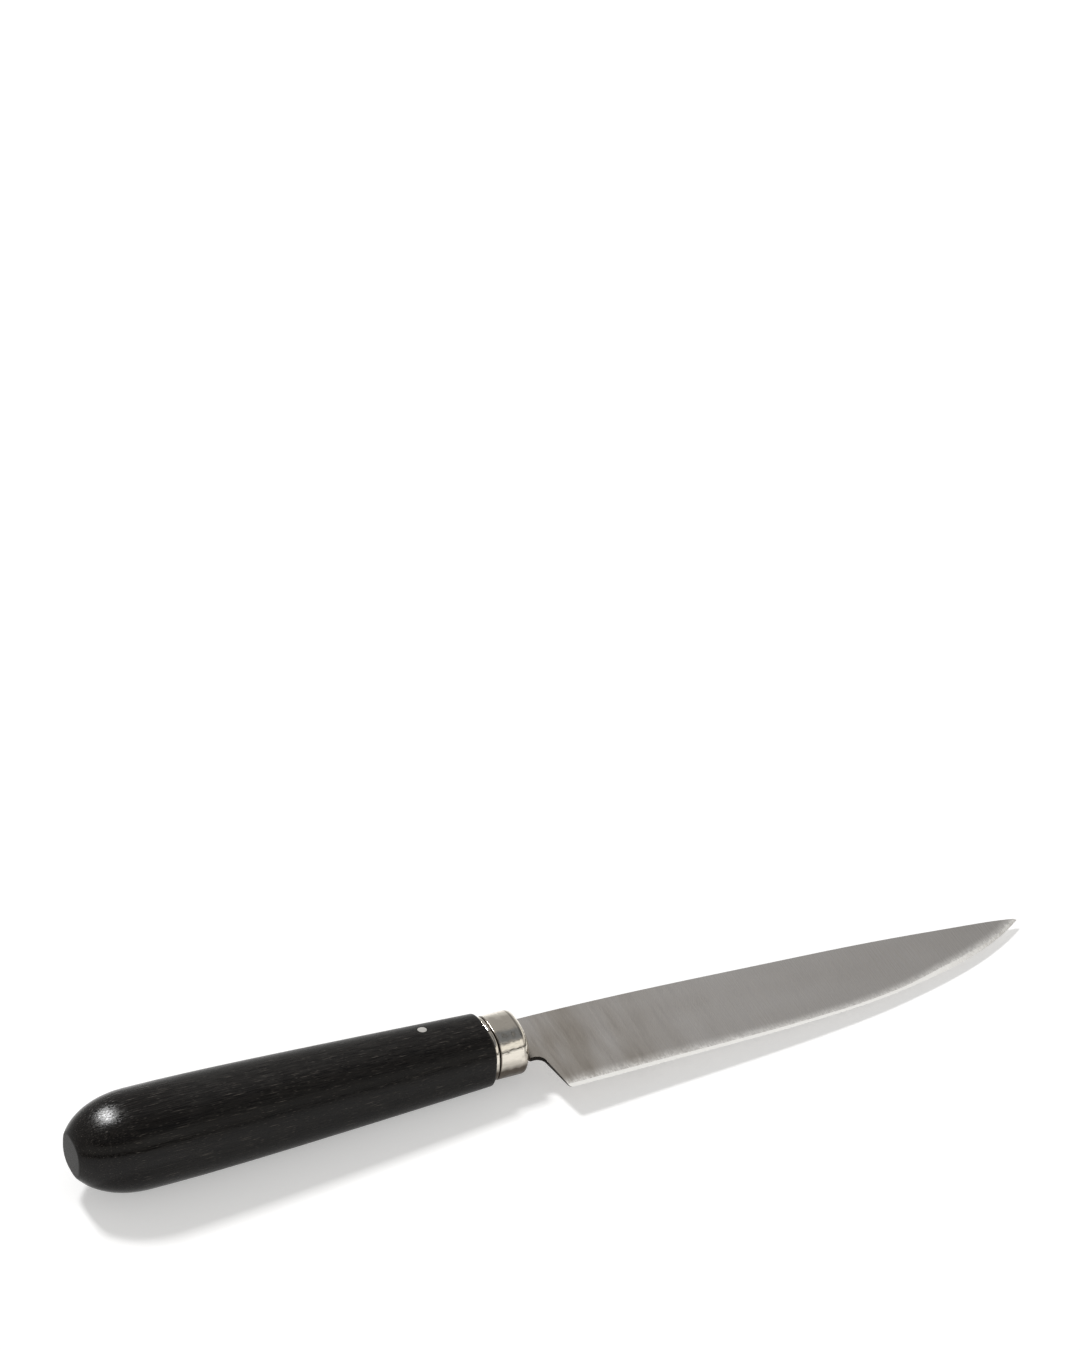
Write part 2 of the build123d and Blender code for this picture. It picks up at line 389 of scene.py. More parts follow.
def turned(profile, closed, start=0.0, sweep=2 * pi):
    """A bmesh turned round the X axis from a profile of points in the XZ plane, then pressed oval."""
    bm = bmesh.new()
    verts = [bmesh.ops.create_vert(bm, co=point)["vert"][0] for point in profile]
    pairs = list(zip(verts, verts[1:]))
    if closed:
        pairs.append((verts[-1], verts[0]))
    edges = [bm.edges.new(pair) for pair in pairs]
    full = sweep == 2 * pi
    bmesh.ops.rotate(bm, verts=verts, cent=(0, 0, 0), matrix=Matrix.Rotation(start, 3, "X"))
    bmesh.ops.spin(
        bm, geom=verts + edges, cent=(0, 0, 0), axis=(1, 0, 0), angle=sweep,
        steps=settings().counts.turn_steps, use_merge=full,
    )
    merge(bm)
    if not full:
        bmesh.ops.holes_fill(bm, edges=[edge for edge in bm.edges if edge.is_boundary])
    press_oval(bm)
    bmesh.ops.recalc_face_normals(bm, faces=bm.faces)
    return bm


def smooth_with_corners(bm):
    """Smooth shading, with the sharper edges and the bevel's shoulder kept crisp."""
    from_edge = bm.verts.layers.float.get("from_edge")
    for face in bm.faces:
        face.smooth = True
    for edge in bm.edges:
        if len(edge.link_faces) == 2:
            edge.smooth = edge.calc_face_angle(0.0) < CRISP_ANGLE
        if from_edge and all(abs(vert[from_edge] - 1) < SHOULDER_SHARE for vert in edge.verts):
            edge.smooth = False


def cut_away(bm, cutter):
    """The bmesh with the cutter's room taken out of it. Both are used up."""
    whole, tool = (mesh_object("cutting", part) for part in (bm, cutter))
    boolean = whole.modifiers.new("cut", "BOOLEAN")
    boolean.operation = "DIFFERENCE"
    boolean.solver = "EXACT"
    boolean.object = tool
    seen = whole.evaluated_get(bpy.context.evaluated_depsgraph_get())
    left = bmesh.new()
    left.from_mesh(seen.to_mesh())
    seen.to_mesh_clear()
    for item in (whole, tool):
        mesh = item.data
        bpy.data.objects.remove(item)
        bpy.data.meshes.remove(mesh)
    merge(left)
    return left


def block(low, high):
    """A bmesh block between two corners."""
    bm = bmesh.new()
    bmesh.ops.create_cube(bm, size=1)
    low, high = Vector(low), Vector(high)
    bmesh.ops.scale(bm, verts=bm.verts, vec=high - low)
    bmesh.ops.translate(bm, verts=bm.verts, vec=(low + high) / 2)
    return bm


def pin_bar(diameter):
    """A bmesh bar square to the blade's flats where the pin goes, longer than the handle is thick."""
    sizes = settings()
    bm = bmesh.new()
    bmesh.ops.create_cone(
        bm, cap_ends=True, segments=sizes.counts.round_steps * 8,
        radius1=diameter / 2, radius2=diameter / 2, depth=sizes.handle.belly * 2,
    )
    bmesh.ops.translate(bm, verts=bm.verts, vec=(-sizes.blade.pin_setback, sizes.blade.pin_rise, 0))
    return bm


def mortise_block():
    """The mortise as a bmesh: the tang's outline with room round it, opening through the tenon's end."""
    sizes = settings()
    blade = sizes.blade
    gap = sizes.handle.mortise_gap
    half = blade.tang_thickness / 2 + gap
    mouth = gap - sizes.ferrule.front_wall
    end = -blade.tang_length - gap
    bm = block((end, -blade.tang_bottom - gap, -half), (mouth, blade.tang_top + gap, half))
    for vert in bm.verts:
        if vert.co.x < mouth:
            vert.co.y = blade.tang_end_top + gap if vert.co.y > 0 else -blade.tang_end_bottom - gap
    return bm


def smooth_line(points):
    """The curve through the points that bends as evenly as it can, as a function of a share from 0 to 1."""
    places = np.array(points)
    spans = np.linalg.norm(np.diff(places, axis=0), axis=1)
    knots = np.concatenate(([0.0], np.cumsum(spans)))
    chords = np.diff(places, axis=0) / spans[:, None]
    matrix = np.eye(len(places))
    slopes = np.zeros_like(places)
    for place in range(1, len(places) - 1):
        before, after = spans[place - 1], spans[place]
        matrix[place, place - 1 : place + 2] = after, 2 * (before + after), before
        slopes[place] = 3 * (after * chords[place - 1] + before * chords[place])
    for place, near in ((0, slice(0, 4)), (-1, slice(-4, None))):
        cubic, square, straight, _ = np.polyfit(knots[near], places[near], 3)
        slopes[place] = 3 * cubic * knots[place] ** 2 + 2 * square * knots[place] + straight
    slopes = np.linalg.solve(matrix, slopes)

    def at(share):
        along = share * knots[-1]
        span = min(max(int(np.searchsorted(knots, along)) - 1, 0), len(spans) - 1)
        t = (along - knots[span]) / spans[span]
        start = (1 + 2 * t) * (1 - t) ** 2 * places[span] + t * (1 - t) ** 2 * spans[span] * slopes[span]
        end = t * t * (3 - 2 * t) * places[span + 1] + t * t * (t - 1) * spans[span] * slopes[span + 1]
        return Vector((*(start + end), 0))

    return at


def spine_line():
    """The spine from the ferrule to the point."""
    blade = settings().blade
    fall = blade.spine_rise + blade.tip_drop
    inner = [(along * blade.length, blade.spine_rise - down * fall) for along, down in SPINE_SHARES]
    return smooth_line([(0, blade.spine_rise), *inner, (blade.length, -blade.tip_drop)])


def edge_line():
    """The cutting edge from the heel to the point."""
    blade = settings().blade
    fall = blade.heel_drop - blade.tip_drop
    inner = [(along * blade.length, -blade.tip_drop - down * fall) for along, down in EDGE_SHARES]
    return smooth_line([(blade.heel_setback, -blade.heel_drop), *inner, (blade.length, -blade.tip_drop)])


def lower_path():
    """Points along the blade's lower outline, and how many of them come before the cutting edge.

    The outline runs along the neck, round and down the choil, round the heel and along the edge."""
    sizes = settings()
    blade = sizes.blade
    steps = sizes.counts.round_steps
    edge = edge_line()
    back = Vector((0, -blade.neck_drop, 0))
    corner = Vector((blade.choil_setback, -blade.neck_drop, 0))
    heel = Vector((blade.heel_setback, -blade.heel_drop, 0))
    neck_round = corner_arc(corner, back - corner, heel - corner, blade.choil_round, steps * 2)
    forward = edge(blade.heel_round / blade.length) - heel
    heel_round = corner_arc(heel, corner - heel, forward, blade.heel_round, steps * 2)
    points = [back.lerp(neck_round[0], step / steps) for step in range(steps)]
    points += neck_round
    points += [neck_round[-1].lerp(heel_round[0], step / steps / 2) for step in range(1, steps * 2)]
    points += heel_round
    fan = len(points)
    start = (heel_round[-1].x - blade.heel_setback) / (blade.length - blade.heel_setback)
    columns = sizes.counts.blade_columns
    points += [edge(start + (1 - start) * step / columns) for step in range(1, columns + 1)]
    return points, fan


def spine_places(points, fan):
    """Where each column meets the spine, along the blade: the choil's columns fan out and run level again."""
    counts = settings().counts
    blade = settings().blade
    reach = blade.heel_setback * 3
    settled = fan + counts.heel_columns
    places = []
    for column, point in enumerate(points):
        if column < fan:
            places.append(reach * column / fan)
        elif column < settled:
            share = (column - fan) / counts.heel_columns
            places.append(reach + (points[settled].x - reach) * share)
        else:
            places.append(point.x)
    return places


def last_share(holds):
    """The share from 0 to 1 up to which a test holds, found by halving."""
    low, high = 0.0, 1.0
    while high - low > HALVED_TO_SHARE:
        middle = (low + high) / 2
        if holds(middle):
            low = middle
        else:
            high = middle
    return low


def spine_height(x):
    """Height of the spine at a place along the blade."""
    spine = spine_line()
    return spine(last_share(lambda share: spine(share).x < x)).y


def flat_half(x, y):
    """Half thickness of the blade's flat: it thins from the spine to the edge and towards the point."""
    blade = settings().blade
    forward = (blade.spine_thickness - blade.tip_thickness) / 2 * x / blade.length
    down = (blade.spine_thickness - blade.edge_thickness) / 2
    down *= (blade.spine_rise - y) / (blade.spine_rise + blade.heel_drop)
    return blade.spine_thickness / 2 - forward - down


def bevel_width(x):
    """Width of the cutting bevel at a place along the blade: it widens where the edge turns up."""
    blade = settings().blade
    shares = (0.0, 0.15, 0.6, 0.72, 0.8, 0.88, 0.94, 1.0)
    heel, middle, belly, point = blade.bevel_heel, blade.bevel_middle, blade.bevel_belly, blade.bevel_point
    widths = (heel, heel, middle, middle, belly, belly * 0.85, point, point)
    return float(np.interp(x / blade.length, shares, widths))


def haze_width(x):
    """Width of the rubbed, hazy zone along the edge, with its bevel."""
    blade = settings().blade
    shares = (0.0, 0.08, 0.25, 0.5, 1.0)
    heel, middle = blade.haze_heel, blade.haze_middle
    return bevel_width(x) + float(np.interp(x / blade.length, shares, (middle, heel, heel, middle, middle)))


class EdgeDistance:
    """Distance from the cutting edge, whose line runs on straight behind the heel."""

    def __init__(self):
        blade = settings().blade
        edge = edge_line()
        samples = settings().counts.blade_columns * 4
        points = [edge(step / samples) for step in range(samples + 1)]
        behind = points[0] - (points[1] - points[0]).normalized() * blade.heel_setback * 2
        self.points = np.array([tuple(point.xy) for point in (behind, *points)])
        self.spans = np.diff(self.points, axis=0)
        self.lengths = (self.spans**2).sum(axis=1)

    def __call__(self, x, y):
        offsets = np.array((x, y)) - self.points[:-1]
        shares = np.clip((offsets * self.spans).sum(axis=1) / self.lengths, 0, 1)
        gaps = offsets - shares[:, None] * self.spans
        return float(np.sqrt((gaps**2).sum(axis=1).min()))


def blade_half(x, y, from_edge):
    """Half thickness of the blade: the flat, and below it the cutting bevel down to nothing."""
    return flat_half(x, y) * min(from_edge / bevel_width(x), 1)


def crossing(lower, upper, distance, width):
    """Share of the way up a column where it is as far from the edge as a width allows."""
    def within(share):
        place = lower.lerp(upper, share)
        return distance(place.x, place.y) <= width(place.x)

    return last_share(within)


def column_shares(lower, upper, distance, rows):
    """Shares of the way up a column for its rows: edge, bevel, its shoulder, hazy zone, then the flat."""
    least, most_shoulder, most_haze = 0.004, 0.6, 0.8
    shoulder = min(max(crossing(lower, upper, distance, bevel_width), least), most_shoulder)
    haze = min(max(crossing(lower, upper, distance, haze_width), shoulder + least * 3), most_haze)
    shares = [shoulder * step / 2 for step in range(3)]
    shares += [shoulder + (haze - shoulder) * step / 3 for step in range(1, 4)]
    left = rows - len(shares) + 1
    return shares + [haze + (1 - haze) * step / left for step in range(1, left + 1)]


def blade_sheet(distance):
    """The blade's upper side: a bmesh grid laid between the spine and the lower outline."""
    counts = settings().counts
    points, fan = lower_path()
    places = spine_places(points, fan)
    rows = counts.blade_rows
    columns = []
    for point, place in zip(points, places):
        top = Vector((place, spine_height(place), 0))
        shares = column_shares(point, top, distance, rows)
        columns.append([point.lerp(top, share) for share in shares])
    bm = bmesh.new()
    bmesh.ops.create_grid(bm, x_segments=len(columns) - 1, y_segments=rows, size=1)
    for vert in bm.verts:
        column = round((vert.co.x + 1) / 2 * (len(columns) - 1))
        row = round((vert.co.y + 1) / 2 * rows)
        place = columns[column][row]
        vert.co = (place.x, place.y, blade_half(place.x, place.y, distance(place.x, place.y)))
    return bm


def close_blunt_sides(bm):
    """Carries the sheet's spine, neck and choil down to the middle plane and rounds their corners."""
    blade = settings().blade
    blunt = [
        edge for edge in bm.edges
        if edge.is_boundary
        and max(vert.co.z for vert in edge.verts) > TINY
        and max(vert.co.x for vert in edge.verts) > TINY
    ]
    thick = [edge for edge in blunt if min(vert.co.z for vert in edge.verts) > blade.corner_round * 2.5]
    sides = bmesh.ops.extrude_edge_only(bm, edges=blunt)["geom"]
    for item in sides:
        if isinstance(item, bmesh.types.BMVert):
            item.co.z = 0
    bmesh.ops.bevel(
        bm, geom=thick, offset=blade.corner_round, segments=3, profile=0.5, affect="EDGES",
        clamp_overlap=True, material=-1,
    )
    merge(bm)


def add_tang(bm):
    """Draws the open back of the blade out into the neck and the tang, and closes its end."""
    sizes = settings()
    blade = sizes.blade
    front = -sizes.ferrule.front_wall
    half = blade.tang_thickness / 2
    sections = (
        (0, blade.spine_rise, blade.neck_step - blade.neck_drop),
        (front, blade.spine_rise, blade.neck_step - blade.neck_drop),
        (front, blade.tang_top, -blade.tang_bottom),
        (-blade.tang_length, blade.tang_end_top, -blade.tang_end_bottom),
    )
    rim = [edge for edge in bm.edges if edge.is_boundary]
    for x, top, bottom in sections:
        drawn = bmesh.ops.extrude_edge_only(bm, edges=rim)["geom"]
        rim = [item for item in drawn if isinstance(item, bmesh.types.BMEdge)]
        ring = [item for item in drawn if isinstance(item, bmesh.types.BMVert)]
        highest = max(vert.co.y for vert in ring)
        lowest = min(vert.co.y for vert in ring)
        for vert in ring:
            share = (vert.co.y - lowest) / (highest - lowest)
            side = 0 if abs(vert.co.z) < TINY else half if vert.co.z > 0 else -half
            vert.co = (x, bottom + (top - bottom) * share, side)
    bmesh.ops.holes_fill(bm, edges=rim)


def mark_places(bm, distance):
    """Keeps how far each point is from the cutting edge, in bevel widths, and how far into the rubbed zone it
    lies, where a painted sheen whitens the steel.
    """
    from_edge, haze = (bm.verts.layers.float.new(name) for name in ("from_edge", "haze"))
    for vert in bm.verts:
        gap = distance(vert.co.x, vert.co.y)
        bevel = bevel_width(vert.co.x)
        vert[from_edge] = gap / bevel
        vert[haze] = 1 - min(max(gap - bevel, 0) / (haze_width(vert.co.x) - bevel), 1)


def mark_blunt_faces(bm):
    """Marks the faces square to the flats along the neck, the choil and the heel."""
    blade = settings().blade
    blunt = bm.faces.layers.float.new("blunt")
    highest = blade.corner_round - blade.neck_drop
    furthest = blade.heel_setback + blade.heel_round
    steep = cos(radians(60))
    for face in bm.faces:
        middle = face.calc_center_median()
        beside = middle.y < highest and middle.x < furthest
        face[blunt] = 1.0 if beside and abs(face.normal.z) < steep else 0.0


def blade_bmesh():
    """The whole blade: both sides, its blunt faces, the neck and the tang with the pin's hole."""
    distance = EdgeDistance()
    bm = blade_sheet(distance)
    close_blunt_sides(bm)
    bmesh.ops.mirror(bm, geom=bm.verts[:] + bm.edges[:] + bm.faces[:], axis="Z", merge_dist=TINY)
    merge(bm)
    add_tang(bm)
    bmesh.ops.recalc_face_normals(bm, faces=bm.faces)
    bm = cut_away(bm, pin_bar(settings().blade.pin_diameter))
    mark_places(bm, distance)
    mark_blunt_faces(bm)
    return bm


def handle_bmesh():
    """The turned wood with its dome, taper, tenon, mortise and pin hole."""
    sizes = settings()
    handle, counts = sizes.handle, sizes.counts
    tenon_end = -sizes.ferrule.front_wall
    belly_x = butt_x() + handle.dome_length - handle.butt_trim
    nudge = handle.butt_round / 10
    rim = on_profile(butt_x(), handle_half(butt_x()))
    up_the_dome = on_profile(nudge, handle_half(butt_x() + nudge) - rim.z)
    profile = [on_profile(butt_x(), 0)]
    profile += corner_arc(rim, INWARDS, up_the_dome, handle.butt_round, counts.round_steps)
    first_x = profile[-1].x
    for step in range(1, counts.dome_steps):
        x = first_x + (belly_x - first_x) * (1 - cos(pi / 2 * step / counts.dome_steps))
        profile.append(on_profile(x, handle_half(x)))
    front = on_profile(shoulder_x(), handle_half(shoulder_x()))
    back_down = on_profile(-nudge, handle_half(shoulder_x() - nudge) - front.z)
    shoulder = corner_arc(front, back_down, INWARDS, handle.shoulder_round, counts.round_steps)
    last_x = shoulder[0].x
    for step in range(counts.taper_steps):
        x = belly_x + (last_x - belly_x) * step / counts.taper_steps
        profile.append(on_profile(x, handle_half(x)))
    profile += shoulder
    tenon = ((shoulder_x(), tenon_half()), (tenon_end, tenon_half()), (tenon_end, 0))
    profile += [on_profile(*corner) for corner in tenon]
    bm = cut_away(turned(profile, closed=False), mortise_block())
    return cut_away(bm, pin_bar(handle.pin_bore))


def ferrule_bmesh():
    """The collar, closed in front round the neck's slot."""
    sizes = settings()
    ferrule, blade, counts = sizes.ferrule, sizes.blade, sizes.counts
    half = ferrule.thickness / 2
    inner = half - ferrule.wall
    steps = counts.round_steps
    back_round = corner_arc(on_profile(-ferrule.length, half), INWARDS, FORWARDS, ferrule.back_round, steps)
    front_round = corner_arc(on_profile(0, half), BACKWARDS, INWARDS, ferrule.front_round, steps * 2)
    inside = ((-ferrule.front_wall, 0), (-ferrule.front_wall, inner), (-ferrule.length, inner))
    profile = [on_profile(*corner) for corner in inside]
    profile += back_round
    side_steps = steps * 4
    profile += [back_round[-1].lerp(front_round[0], step / side_steps) for step in range(1, side_steps)]
    profile += [*front_round, on_profile(0, 0)]
    bm = turned(profile, closed=False)
    gap = ferrule.slot_gap
    half_slot = blade.tang_thickness / 2 + gap
    past = ferrule.front_wall
    bottom = blade.neck_step - blade.neck_drop - gap
    slot = block((-ferrule.front_wall - past, bottom, -half_slot), (past, blade.spine_rise + gap, half_slot))
    return cut_away(bm, slot)


def ring_bmesh():
    """The split ring, of rounded section."""
    sizes = settings()
    ferrule, counts = sizes.ferrule, sizes.counts
    half = ferrule.thickness / 2
    inner = half - ferrule.wall
    back, front = on_profile(shoulder_x(), half), on_profile(-ferrule.length, half)
    profile = [on_profile(front.x, inner), on_profile(back.x, inner)]
    profile += corner_arc(back, INWARDS, FORWARDS, ferrule.ring_round, counts.round_steps)
    profile += corner_arc(front, BACKWARDS, INWARDS, ferrule.ring_round, counts.round_steps)
    gap = ferrule.ring_gap / half
    start = ferrule.ring_gap_angle - pi / 2 + gap / 2
    return turned(profile, closed=True, start=start, sweep=2 * pi - gap)


def feed(tree, node, inputs):
    """Links each of a node's inputs to a socket, or sets it to a plain value."""
    for socket, value in inputs.items():
        if isinstance(value, bpy.types.NodeSocket):
            tree.links.new(value, node.inputs[socket])
        else:
            node.inputs[socket].default_value = value


def add(tree, kind, inputs=None, **values):
    """Adds a node to a tree, with its settings, and its inputs linked or set."""
    made = tree.nodes.new(kind)
    for name, value in values.items():
        setattr(made, name, value)
    feed(tree, made, inputs or {})
    return made


def result(tree, operation, first, second=0.0):
    """What one sum makes of two values."""
    return add(tree, "ShaderNodeMath", {0: first, 1: second}, operation=operation).outputs[0]


def times(tree, first, second):
    """The product of two values."""
    return result(tree, "MULTIPLY", first, second)


def total(tree, first, *others):
    """The sum of several values."""
    for other in others:
        first = result(tree, "ADD", first, other)
    return first


def more(tree, first, *others):
    """The greatest of several values."""
    for other in others:
        first = result(tree, "MAXIMUM", first, other)
    return first


def spread(tree, value, low, high, to_low=0.0, to_high=1.0, curve="LINEAR"):
    """A value carried from one range to another, held at its ends."""
    inputs = {"Value": value, "From Min": low, "From Max": high, "To Min": to_low, "To Max": to_high}
    return add(tree, "ShaderNodeMapRange", inputs, interpolation_type=curve).outputs["Result"]


def mix(tree, share, first, second):
    """Two colours mixed by a share."""
    inputs = {0: share}
    for socket, value in ((6, first), (7, second)):
        inputs[socket] = value if isinstance(value, bpy.types.NodeSocket) else (*value, 1.0)
    return add(tree, "ShaderNodeMix", inputs, data_type="RGBA").outputs[2]


def split(tree, place):
    """A place's three coordinates."""
    return add(tree, "ShaderNodeSeparateXYZ", {"Vector": place}).outputs


def bump(tree, height, strength, depth):
    """A normal from a mask of heights, its depth in millimetres."""
    inputs = {"Height": height, "Strength": strength, "Distance": depth * MILLIMETRE}
    return add(tree, "ShaderNodeBump", inputs).outputs["Normal"]


def group_tree(name, output, **inputs):
    """A new shader group that turns a place and named numbers into a mask, with its inputs' sockets."""
    tree = bpy.data.node_groups.new(name, "ShaderNodeTree")
    tree.interface.new_socket(name="Place", in_out="INPUT", socket_type="NodeSocketVector")
    for label, value in inputs.items():
        socket = tree.interface.new_socket(name=label.title(), in_out="INPUT", socket_type="NodeSocketFloat")
        socket.default_value = value
    tree.interface.new_socket(name=output, in_out="OUTPUT", socket_type="NodeSocketFloat")
    return tree, add(tree, "NodeGroupInput").outputs


def fine_lines_group():
    """Fine rubbed lines: a stretched noise with its contrast raised, broken up along the lines."""
    tree, given = group_tree("Fine lines", "Lines", detail=3.0, low=0.35, high=0.7)
    inputs = {"Vector": given["Place"], "Scale": 1.0, "Detail": given["Detail"], "Roughness": 0.6}
    noise = add(tree, "ShaderNodeTexNoise", inputs).outputs["Fac"]
    lines = spread(tree, noise, given["Low"], given["High"], curve="SMOOTHSTEP")
    add(tree, "NodeGroupOutput", {"Lines": lines})


def flecks_group():
    """Small long flecks scattered through a solid, such as pores, each with its own strength."""
    tree, given = group_tree("Flecks", "Flecks", size=0.3, share=0.5)
    cells = add(tree, "ShaderNodeTexVoronoi", {"Vector": given["Place"], "Scale": 1.0}, feature="F1").outputs
    inside = spread(tree, cells["Distance"], given["Size"], 0.0, curve="SMOOTHSTEP")
    chance = add(tree, "ShaderNodeSeparateColor", {"Color": cells["Color"]}).outputs
    chosen = result(tree, "LESS_THAN", chance["Red"], given["Share"])
    add(tree, "NodeGroupOutput", {"Flecks": times(tree, inside, times(tree, chosen, chance["Green"]))})


def clouding_group():
    """Soft uneven clouding, from 0 to 1."""
    tree, given = group_tree("Clouding", "Cloud", detail=2.0)
    inputs = {"Vector": given["Place"], "Scale": 1.0, "Detail": given["Detail"]}
    noise = add(tree, "ShaderNodeTexNoise", inputs).outputs["Fac"]
    add(tree, "NodeGroupOutput", {"Cloud": spread(tree, noise, 0.3, 0.7)})


SHARED_GROUPS = {"Fine lines": fine_lines_group, "Flecks": flecks_group, "Clouding": clouding_group}


def pattern(tree, name, place, factors, shift=(0, 0, 0), **inputs):
    """A shared group's mask over the place in millimetres, multiplied along each axis and shifted."""
    if name not in bpy.data.node_groups:
        SHARED_GROUPS[name]()
    where = add(tree, "ShaderNodeMapping", {"Vector": place, "Scale": factors, "Location": shift})
    inputs = {label.title(): value for label, value in inputs.items()}
    inputs["Place"] = where.outputs["Vector"]
    return add(tree, "ShaderNodeGroup", inputs, node_tree=bpy.data.node_groups[name]).outputs[0]


def new_material(name):
    """A material with a bare principled shader, and the place in millimetres along the knife's axes."""
    material = bpy.data.materials.new(name)
    material.use_nodes = True
    tree = material.node_tree
    tree.nodes.clear()
    shader = add(tree, "ShaderNodeBsdfPrincipled")
    add(tree, "ShaderNodeOutputMaterial", {"Surface": shader.outputs["BSDF"]})
    lie = lie_of_the_knife()
    inputs = {
        "Vector": add(tree, "ShaderNodeTexCoord").outputs["Object"], "Location": lie.translation,
        "Rotation": lie.to_euler("XYZ"), "Scale": (MILLIMETRE,) * 3,
    }
    place = add(tree, "ShaderNodeMapping", inputs, vector_type="TEXTURE").outputs["Vector"]
    return material, tree, shader, place


def wood_material():
    """Black wood, rubbed with oil: faint bands, open pores along the grain and fine scratches."""
    finish = settings().finish
    material, tree, shader, place = new_material("Black wood")
    bands = pattern(tree, "Clouding", place, (0.012, 0.5, 0.5), detail=4.0)
    long_pores = pattern(tree, "Flecks", place, (0.13, 3.0, 3.0), size=0.3, share=0.6)
    short_pores = pattern(tree, "Flecks", place, (0.6, 3.6, 3.6), (7, 3, 5), size=0.36, share=0.7)
    rubbed = pattern(tree, "Fine lines", place, (0.16, 5.5, 5.5), detail=4.0, low=0.35, high=0.72)
    pores = total(tree, long_pores, times(tree, short_pores, 0.6))
    ground = mix(tree, bands, finish.wood_dark, finish.wood_band)
    ground = mix(tree, times(tree, rubbed, 0.10), ground, finish.wood_pore)
    along = split(tree, place)["X"]
    butt = butt_x() / MILLIMETRE
    rough = total(
        tree,
        spread(tree, along, *WORN_DOME, finish.dome_roughness, finish.wood_roughness),
        spread(tree, along, butt + BUTT_RIM, butt + BUTT_FACE, 0, finish.end_grain),
        spread(tree, rubbed, 0, 1, -0.04, 0.16),
        times(tree, pores, 0.25),
    )
    height = result(tree, "SUBTRACT", times(tree, rubbed, 0.35), pores)
    feed(tree, shader, {
        "Base Color": mix(tree, pores, ground, finish.wood_pore), "Specular IOR Level": finish.wood_shine,
        "Roughness": rough, "Normal": bump(tree, height, strength=0.6, depth=0.03),
    })
    return material


def ground_lines(tree, place):
    """Ground lines across the blade in three finenesses, deepest where they run together."""
    parts = []
    for factors, shift, share in GROUND_LINES:
        lines = pattern(tree, "Fine lines", place, factors, shift, detail=3.0, low=0.36, high=0.68)
        parts.append(times(tree, lines, share))
    return total(tree, *parts)


def steel_browning(tree, place):
    """How brown the steel is: brown bands across the blade that fade away from the ferrule, and faint clouds
    further out.
    """
    bands = pattern(tree, "Clouding", place, (0.13, 0.035, 0.035), detail=3.0)
    clouds = pattern(tree, "Clouding", place, (0.05, 0.09, 0.09), (2, 5, 1), detail=2.0)
    near = spread(tree, split(tree, place)["X"], *BROWNING)
    near = times(tree, near, spread(tree, bands, 0.15, 0.85, 0.25, 1.0))
    return total(tree, near, times(tree, clouds, 0.22))


def steel_material():
    """Satin steel with lines across its width, a bevel and a rubbed zone behind it both whitened with a
    painted highlight, and a dark choil.
    """
    finish = settings().finish
    material, tree, shader, place = new_material("Satin steel")
    lines = ground_lines(tree, place)
    from_edge, haze, blunt = (
        add(tree, "ShaderNodeAttribute", attribute_name=name, attribute_type="GEOMETRY").outputs["Fac"]
        for name in ("from_edge", "haze", "blunt")
    )
    sparkle = pattern(tree, "Fine lines", place, (2.6, 1.2, 1.2), detail=4.0, low=0.3, high=0.7)
    # Rubbed zone behind the bevel, partly its real finish and partly a painted sheen where the convex grind
    # catches the light
    haze = times(tree, result(tree, "POWER", haze, 1.6), spread(tree, sparkle, 0, 1, 0.35, 1.0))
    # The cutting bevel, whitened below with a painted highlight over its fresh grinding
    bevel = spread(tree, from_edge, 1.04, 0.92)
    honed = spread(tree, split(tree, place)["X"], *HONED_POINT, 0, 0.45)
    honed = times(tree, honed, spread(tree, sparkle, 0.2, 0.8, 1.0, 0.3))
    colour = mix(tree, steel_browning(tree, place), finish.steel_pale, finish.steel_brown)
    # Painted highlight: the rubbed zone and the cutting bevel are whitened to show the light they catch
    layers = (
        (times(tree, lines, 0.55), finish.steel_line),
        (times(tree, haze, 0.75), finish.bright_steel_and_highlight),
        (bevel, finish.bright_steel_and_highlight),
        (times(tree, bevel, honed), finish.steel_brown),
        (blunt, finish.steel_scale),
    )
    for share, layer in layers:
        colour = mix(tree, share, colour, layer)
    # Less metallic where the painted highlight lies, so that it stays white
    dull = more(tree, times(tree, bevel, 0.95), times(tree, haze, 0.35))
    rough = spread(tree, lines, 0, 1, finish.steel_roughness - 0.06, finish.steel_roughness + 0.12)
    feed(tree, shader, {
        "Base Color": colour, "Metallic": result(tree, "SUBTRACT", 1.0, dull),
        "Roughness": total(tree, rough, times(tree, more(tree, haze, bevel), 0.15)),
        "Normal": bump(tree, lines, strength=0.35, depth=0.008),
    })
    return material


def collar_line(tree, along, place, reach, strength=1.0):
    """A soft line round the collar at a place along the knife."""
    off = result(tree, "ABSOLUTE", result(tree, "SUBTRACT", along, place / MILLIMETRE))
    return spread(tree, off, reach, LINE_CORE, 0, strength)


